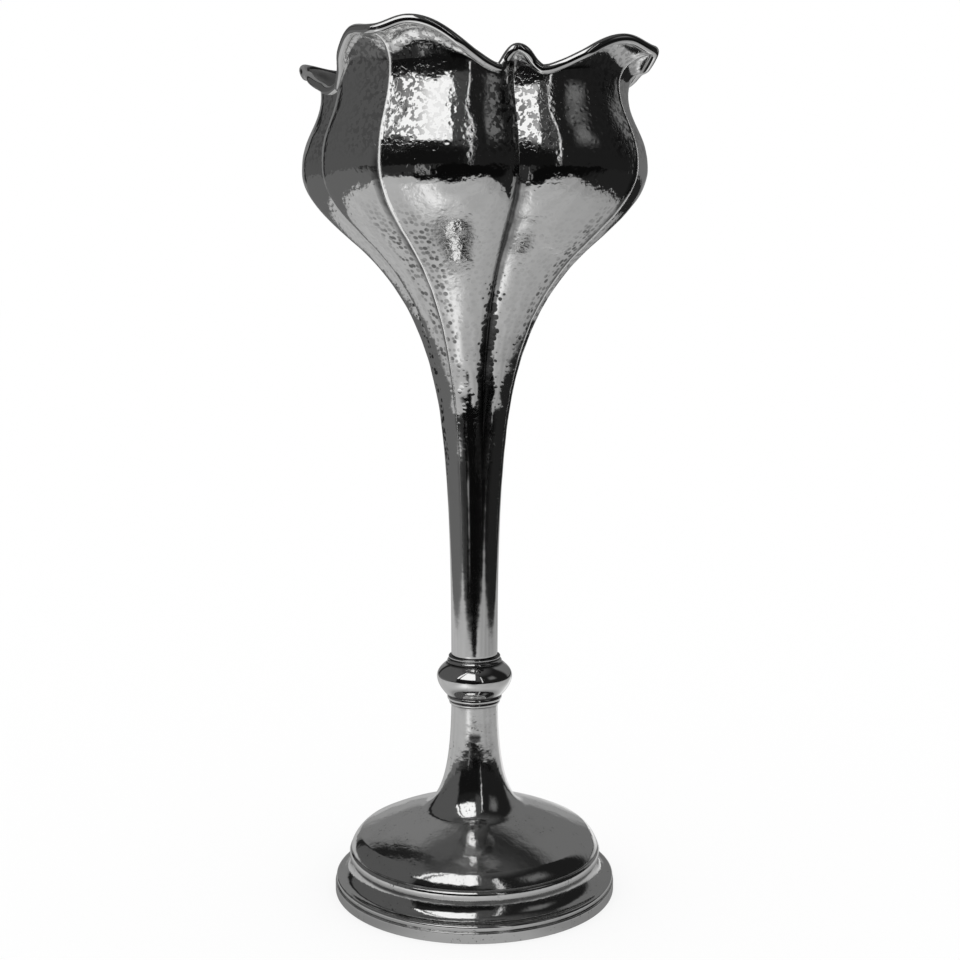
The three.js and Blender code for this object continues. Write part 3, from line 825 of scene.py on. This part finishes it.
# Table: its height, reach and greys, its edges as seen from the camera, how far they turn and how soft they
# are, the notch in the front one, the painted shadow ring round the foot and the pale streak
TABLE_HEIGHT = 0.00004
TABLE_REACH = (0.02, 2.1)
TABLE_GREY = 0.44
TABLE_GRAIN = 0.012
TABLE_DARKENS = 0.6
TABLE_LEFT, TABLE_RIGHT, TABLE_FRONT = -0.295, 0.28, 0.275
TABLE_LEFT_TURN, TABLE_FRONT_TURN = 0.12, 0.25
TABLE_LEFT_SOFT, TABLE_SOFT = 0.02, 0.015
NOTCH_DEPTH, NOTCH_WIDTH = 0.045, 0.05
FOOT_SHADOW_WIDTH = 0.014
STREAK_GREY, STREAK_SLANT, STREAK_WIDTH = 0.42, 0.6, 0.04
STREAK_REACH = (0.07, 0.215, 0.05)

# Ground beyond the table: its greys left of a line and right of it, and the pale strip on it
BEYOND_LINE = -0.2
BEYOND_GREYS = (0.125, 0.015)
STRIP_GREY, STRIP_SLANT, STRIP_WIDTH = 0.25, 0.52, 0.025
STRIP_PLACE = (-0.155, 0.345)
STRIP_FROM = (0.33, 0.37)

# Window: its distance, the grey between its panes, their azimuths and heights with soft edges. Then the
# floor's reach, and how much of it glows
WINDOW_DISTANCE = 0.6
WINDOW_GREY = 0.006
WINDOW_PANES = ((-49, 2, 1.5), (-61, -54, 1.5))
WINDOW_HEIGHTS = (0.425, 1.85, 0.02)
FLOOR_REACH = 4.0
FLOOR_GLOW = 0.8


def card(name, grid, level):
    """Studio card that only shows in reflections: a grid that glows with a grey level at each point."""
    index = np.arange(level.size).reshape(level.shape)
    quads = np.stack([index[:-1, :-1], index[:-1, 1:], index[1:, 1:], index[1:, :-1]], -1).reshape(-1, 4)
    material, bench = blank(name)
    glow = bench.node("Emission", {}, {"Color": bench.attribute("level"), "Strength": 1.0})
    bench.node("OutputMaterial", {}, {"Surface": glow})
    made = placed(name, grid, quads, material)
    put_values(made, "level", level)
    for ray in ("camera", "diffuse", "transmission", "volume_scatter", "shadow"):
        setattr(made, "visible_" + ray, False)
    return made


def studio_room():
    """Half globe of cards round the vase: points at even steps of azimuth and elevation. Its grey is
    soft-edged patches laid over one another, each a product of two windows."""
    azimuth, elevation = np.meshgrid(np.linspace(-180, 180, 721), np.linspace(-4, 90, 189))
    a, e = np.radians(azimuth) + CAMERA_AZIMUTH, np.radians(elevation)
    globe = np.stack([np.sin(a) * np.cos(e), -np.cos(a) * np.cos(e), np.sin(e)], -1)
    level = np.full_like(azimuth, ROOM_GREY)
    for left, right, low, high, edge, grey in ROOM_PATCHES:
        share = window(azimuth, left, right, edge) * window(elevation, low, high, edge)
        level = level + (grey - level) * share
    return card("studio_room", ROOM_RADIUS * globe + ROOM_MIDDLE, level)


def table_card():
    """Pale table under the vase with darkness beyond: rings of points that widen outwards. The grey is a
    four-sided table with soft edges, turned a little to the camera, with a notch in the middle of its front
    edge, a pale streak slanting across it, a grey that darkens to the right, and a painted shadow of the
    foot, a darker ring close to it, deepest at the sides. In front of it on the left a pale strip lies on the
    ground."""
    rings, turns = np.geomspace(*TABLE_REACH, 110), np.linspace(0, 2 * np.pi, 361)
    radius, angle = np.meshgrid(rings, turns, indexing="ij")
    grid = np.stack([radius * np.sin(angle), -radius * np.cos(angle), np.full_like(radius, TABLE_HEIGHT)], -1)
    aside, ahead = radius * np.sin(angle - CAMERA_AZIMUTH), radius * np.cos(angle - CAMERA_AZIMUTH)
    left_edge = TABLE_LEFT - TABLE_LEFT_TURN * ahead
    front_edge = TABLE_FRONT + TABLE_FRONT_TURN * np.minimum(0, aside)
    front_edge = front_edge - NOTCH_DEPTH * ridge(aside, 0, NOTCH_WIDTH)
    left = smoothstep(-TABLE_LEFT_SOFT, TABLE_LEFT_SOFT, aside - left_edge)
    right = 1 - smoothstep(-TABLE_SOFT, TABLE_SOFT, aside - TABLE_RIGHT)
    front = 1 - smoothstep(-TABLE_SOFT, TABLE_SOFT, ahead - front_edge)
    beyond = np.where(aside < BEYOND_LINE, *BEYOND_GREYS) * (1 - 0.8 * smoothstep(0.1, 0.3, ahead))
    slanted = aside - STRIP_PLACE[0] + STRIP_SLANT * (ahead - STRIP_PLACE[1])
    beyond = beyond + STRIP_GREY * ridge(slanted, 0, STRIP_WIDTH) * smoothstep(*STRIP_FROM, ahead)
    waves = ((41, 17, 1), (-23, 67, 0), (29, -53, 0))
    grain = sum(np.sin(across * aside + along * ahead + start) for across, along, start in waves)
    streak = ridge(aside + STREAK_SLANT * ahead, 0, STREAK_WIDTH) * window(radius, *STREAK_REACH)
    near = TABLE_GREY + TABLE_GRAIN * grain + STREAK_GREY * streak
    near = near - TABLE_DARKENS * np.maximum(0, aside - 0.02)
    # Painted shadow of the foot on the table: a darker ring round it, deepest at the sides
    foot_shadow_depth = 0.2 + 0.3 * smoothstep(0.01, 0.03, np.abs(aside))
    near = near * (1 - foot_shadow_depth * ridge(radius, FOOT_RADIUS * MM, FOOT_SHADOW_WIDTH))
    return card("table_card", grid, beyond + (near - beyond) * left * right * front)


def window_card():
    """Two white panes, a broad one and a narrow one beside it: a strip of an upright cylinder."""
    azimuth, height = np.meshgrid(np.linspace(-64, 4, 137), np.linspace(0.38, 1.9, 153))
    a = np.radians(azimuth) + CAMERA_AZIMUTH
    grid = np.stack([WINDOW_DISTANCE * np.sin(a), -WINDOW_DISTANCE * np.cos(a), height], -1)
    panes = sum(window(azimuth, *pane) for pane in WINDOW_PANES)
    return card("window_card", grid, WINDOW_GREY + panes * window(height, *WINDOW_HEIGHTS))


def pale_floor():
    """Plain floor that keeps the shadow: white paint, and a white glow for rays that show it to the camera,
    straight or in metal or glass."""
    material, bench = blank("pale_floor")
    path = ("Is Camera Ray", "Is Glossy Ray", "Is Transmission Ray")
    straight, in_metal, in_glass = (bench.node("LightPath", output=ray) for ray in path)
    shown = straight.most(in_metal).most(in_glass)
    paint = bench.node("BsdfDiffuse", {}, {"Color": (1, 1, 1, 1)})
    glow = bench.node("Emission", {}, {"Color": (1, 1, 1, 1), "Strength": 1.0})
    lit = bench.node("MixShader", {}, {0: FLOOR_GLOW * shown, 1: paint, 2: glow})
    bench.node("OutputMaterial", {}, {"Surface": lit})
    corners = FLOOR_REACH * np.array([(-1, -1, 0), (1, -1, 0), (1, 1, 0), (-1, 1, 0)], float)
    floor = placed("floor", corners, np.arange(4)[None, :], material)
    return floor


studio_room()
table_card()
window_card()
pale_floor()

world = bpy.data.worlds.new("studio")
world.use_nodes = True
world.node_tree.nodes.clear()
sky_bench = Shade(world.node_tree)
sky = sky_bench.node("Background", {}, {"Color": (1, 1, 1, 1), "Strength": 1.0})
sky_bench.node("OutputWorld", {}, {"Surface": sky})
bpy.context.scene.world = world

camera_data = bpy.data.cameras.new("camera")
camera_data.sensor_width = SENSOR_WIDTH
camera_data.lens = SENSOR_WIDTH * LENS_PIXELS / IMAGE_PIXELS
camera_data.clip_start = 0.01
camera = bpy.data.objects.new("camera", camera_data)
camera.location = (
    CAMERA_DISTANCE * math.sin(CAMERA_AZIMUTH), -CAMERA_DISTANCE * math.cos(CAMERA_AZIMUTH), CAMERA_HEIGHT)
camera.rotation_euler = (math.pi / 2 - CAMERA_DIP, 0, CAMERA_AZIMUTH - math.atan(AIM_PIXELS / LENS_PIXELS))
bpy.context.scene.collection.objects.link(camera)
bpy.context.scene.camera = camera
bpy.context.scene.view_settings.view_transform = "Standard"
